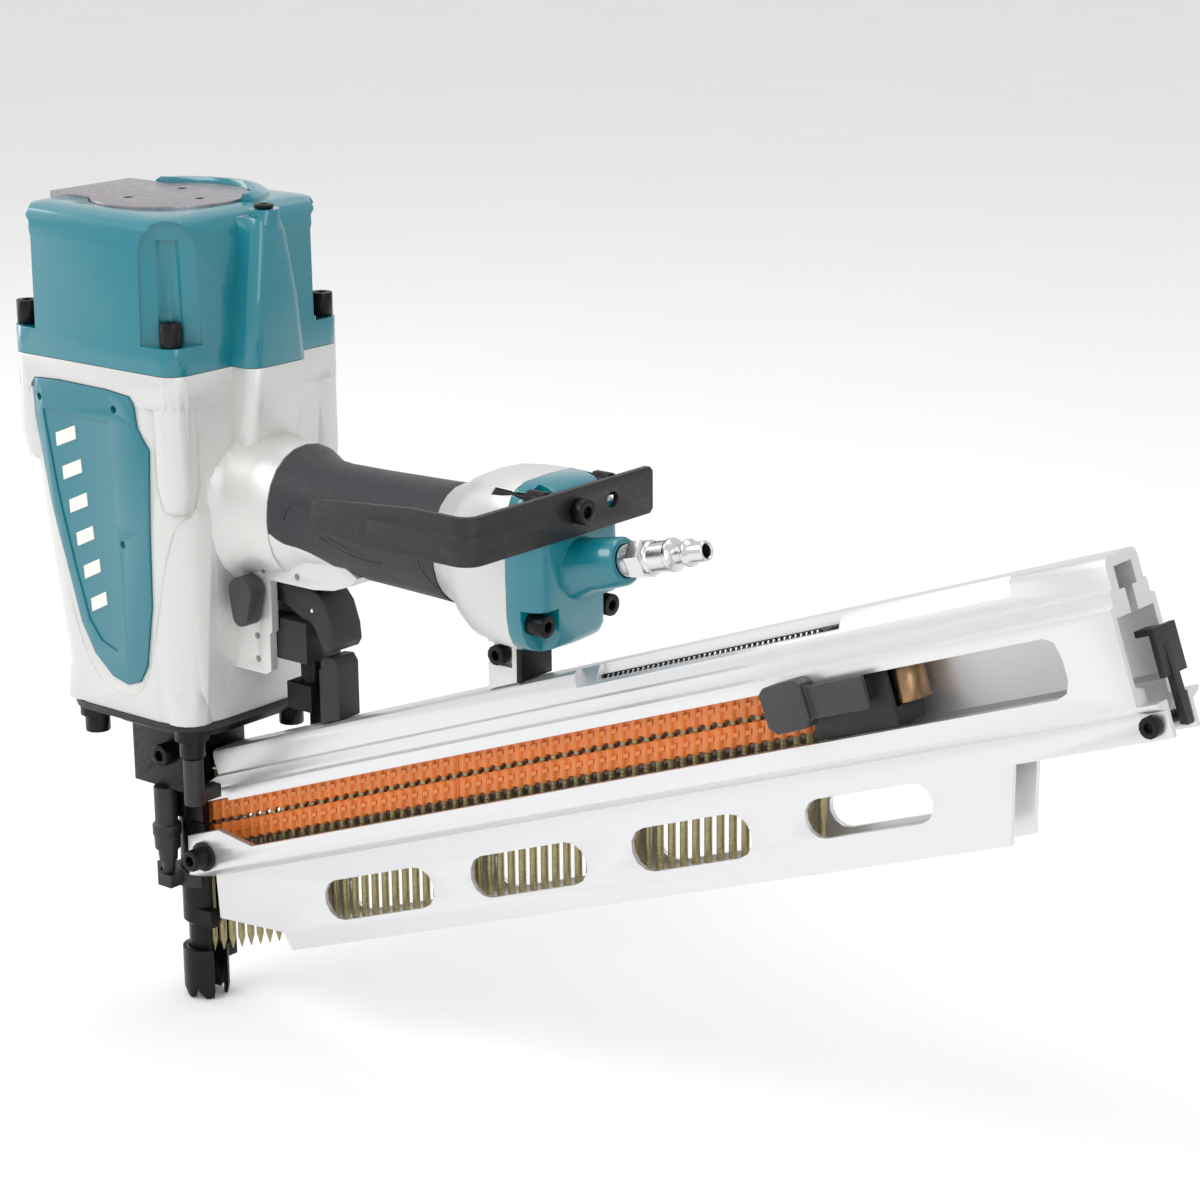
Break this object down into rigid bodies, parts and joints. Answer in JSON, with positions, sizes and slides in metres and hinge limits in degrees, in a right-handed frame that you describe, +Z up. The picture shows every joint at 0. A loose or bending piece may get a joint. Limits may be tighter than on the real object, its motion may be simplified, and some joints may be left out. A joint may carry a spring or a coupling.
{
  "type": "pneumatic nail gun",
  "caption": "Pneumatic framing nail gun with square head, rubber grip, angled open-sided magazine with collated nails, contact arm, trigger, belt hook and air plug.",
  "frame": {"origin": "middle of the hand grip, on its centre line", "axes": "+X rearwards from the driving head to the air inlet, along the grip; +Y across the tool, away from the side with the pusher knob and the selector lever; +Z up, opposite to the direction in which the nail is driven"},
  "size_m": [0.5486, 0.1223, 0.3702],
  "materials": {
    "teal_paint": "gloss teal paint over a casting",
    "silver_paint": "fine metallic silver paint over a casting",
    "badge_teal": "satin teal",
    "grip_rubber": "matt with moulded lines",
    "black_steel": "blackened, slightly oily",
    "black_plastic": "fine grain",
    "aluminium": "satin extrusion",
    "bright_steel": "zinc plated",
    "cover_metal": "satin grey",
    "collation": "orange plastic band with coated nails",
    "ribbon": "heat-tinted spring steel",
    "seal": "matt black",
    "cream": "smooth"
  },
  "bodies": {
    "tool": {"air_plug": "bright_steel", "arm_guide": "black_plastic", "arm_post": "black_plastic", "badge_left": "badge_teal", "badge_right": "badge_teal", "base_gasket": "seal", "belt_hook": "black_steel", "body_housing": "silver_paint", "bracket_bolt": "black_steel", "bracket_strap": "black_steel", "bumper": "seal", "cap_bolt_1": "black_steel", "cap_bolt_2": "black_steel", "cap_bolt_3": "black_steel", "cap_bolt_4": "black_steel", "cap_plug_screw": "black_steel", "contact_spring": "bright_steel", "cylinder_liner": "aluminium", "end_cap": "teal_paint", "end_cap_bolt_1": "black_steel", "end_cap_bolt_2": "black_steel", "end_cap_bolt_3": "black_steel", "end_cap_bolt_4": "black_steel", "exhaust_cover": "cover_metal", "exhaust_screw_1": "black_steel", "exhaust_screw_2": "black_steel", "exhaust_screw_3": "black_steel", "grip_sleeve": "grip_rubber", "guide_column": "black_plastic", "head_cap": "teal_paint", "head_valve_spring": "bright_steel", "hook_bolt": "black_steel", "magazine_channel": "aluminium", "magazine_front_bolt": "black_steel", "magazine_rear_bolt": "black_steel", "nail_strip_front": "collation", "nail_strip_rear": "collation", "nose_bolt_1": "black_plastic", "nose_bolt_2": "black_plastic", "nose_bolt_3": "black_plastic", "nose_bolt_4": "black_plastic", "nose_frame": "black_steel", "nose_side_bolt": "black_steel", "nosepiece": "black_steel", "nosepiece_clamp": "black_plastic", "support_bracket": "silver_paint", "trigger_valve_body": "black_plastic"},
    "head_valve": {"head_valve": "cream"},
    "driver": {"piston_driver": "bright_steel", "driven_nail": "bright_steel"},
    "contact_arm": {"contact_arm": "black_steel"},
    "trigger": {"trigger": "black_plastic", "trigger_idler": "bright_steel"},
    "valve_stem": {"trigger_valve_stem": "bright_steel"},
    "selector": {"selector_lever": "black_plastic"},
    "depth_adjuster": {"depth_adjuster": "black_plastic"},
    "pusher": {"pusher": "black_plastic", "pusher_knob": "black_plastic"},
    "ribbon_roll": {"ribbon_roll": "ribbon"},
    "nail_stop": {"nail_stop_lever": "black_plastic"}
  },
  "joints": [
    {"name": "driver_slide", "type": "slide", "parent": "tool", "child": "driver", "axis": [0, 0, -1], "range_m": [0, 0.104]},
    {"name": "head_valve_slide", "type": "slide", "parent": "tool", "child": "head_valve", "axis": [0, 0, 1], "range_m": [0, 0.005], "stiffness_N_per_m": 800, "springref_m": -0.01, "deforming": ["head_valve_spring"]},
    {"name": "contact_arm_slide", "type": "slide", "parent": "tool", "child": "contact_arm", "axis": [0, 0, 1], "range_m": [0, 0.01], "stiffness_N_per_m": 400, "springref_m": -0.02, "deforming": ["contact_spring"]},
    {"name": "trigger_hinge", "type": "hinge", "parent": "tool", "child": "trigger", "pos_m": [-0.0624, 0, -0.0341], "axis": [0, -1, 0], "range_deg": [0, 4.3], "stiffness_Nm_per_rad": 0.5, "springref_deg": -11.46},
    {"name": "valve_stem_slide", "type": "slide", "parent": "tool", "child": "valve_stem", "axis": [0, 0, 1], "range_m": [0, 0.0022]},
    {"name": "selector_hinge", "type": "hinge", "parent": "tool", "child": "selector", "pos_m": [-0.0624, 0, -0.0341], "axis": [0, -1, 0], "range_deg": [0, 90]},
    {"name": "depth_adjuster_turn", "type": "hinge", "parent": "tool", "child": "depth_adjuster", "pos_m": [-0.1245, -0.016, -0.1655], "axis": [0, 0, 1], "range_deg": [-180, 180]},
    {"name": "pusher_slide", "type": "slide", "parent": "tool", "child": "pusher", "axis": [0.9397, 0, 0.342], "range_m": [0, 0.075], "stiffness_N_per_m": 40, "springref_m": -0.25},
    {"name": "ribbon_roll_turn", "type": "hinge", "parent": "pusher", "child": "ribbon_roll", "pos_m": [0.26311, 0.0016, -0.02401], "axis": [-0.342, 0, 0.9397], "range_deg": [0, 560]},
    {"name": "nail_stop_hinge", "type": "hinge", "parent": "tool", "child": "nail_stop", "pos_m": [0.37419, 0, -0.00934], "axis": [0, 1, 0], "range_deg": [0, 15], "stiffness_Nm_per_rad": 0.1, "springref_deg": -11.46}
  ],
  "couplings": [
    {"joint": "valve_stem_slide", "follows": "trigger_hinge", "m_per_rad": 0.0274},
    {"joint": "ribbon_roll_turn", "follows": "pusher_slide", "rad_per_m": 125}
  ]
}
